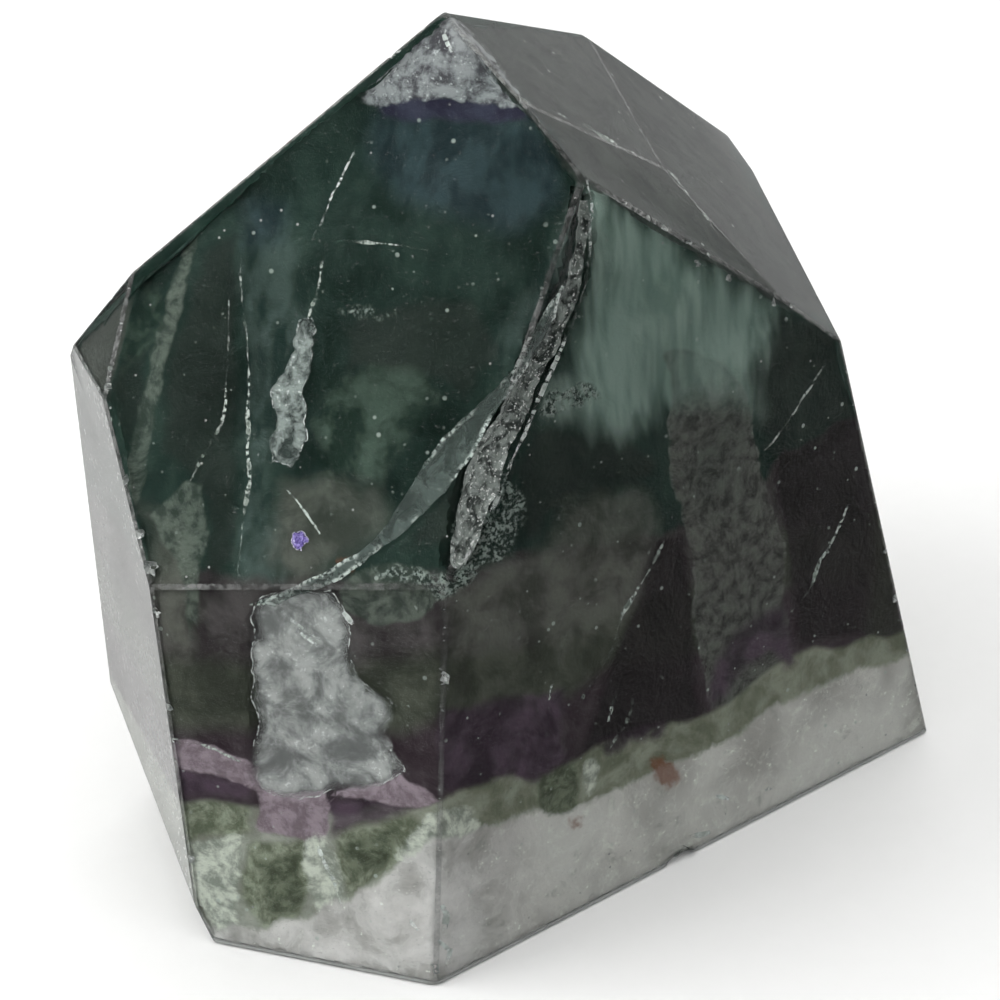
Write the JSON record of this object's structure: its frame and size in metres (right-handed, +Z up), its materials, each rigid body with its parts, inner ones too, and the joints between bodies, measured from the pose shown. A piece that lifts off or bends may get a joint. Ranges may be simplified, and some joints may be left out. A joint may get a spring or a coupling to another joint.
{
  "type": "fluorite point",
  "caption": "Cut and polished fluorite point: a squat, leaning six-sided stone with a six-sided tip, standing on a flat sawn base.",
  "frame": {"origin": "centre of the bounding box on the plane of the flat base", "axes": "+Z up from the base to the tip, +X to the right of the front edge, -Y towards the front edge where the two large front faces meet"},
  "size_m": [0.0668, 0.0624, 0.0627],
  "materials": {
    "fluorite": "polished faces with fine scratches, dull sawn base; deep green body over purple, green and milky white zones"
  },
  "bodies": {
    "root": {"fluorite_point": "fluorite"}
  },
  "joints": []
}
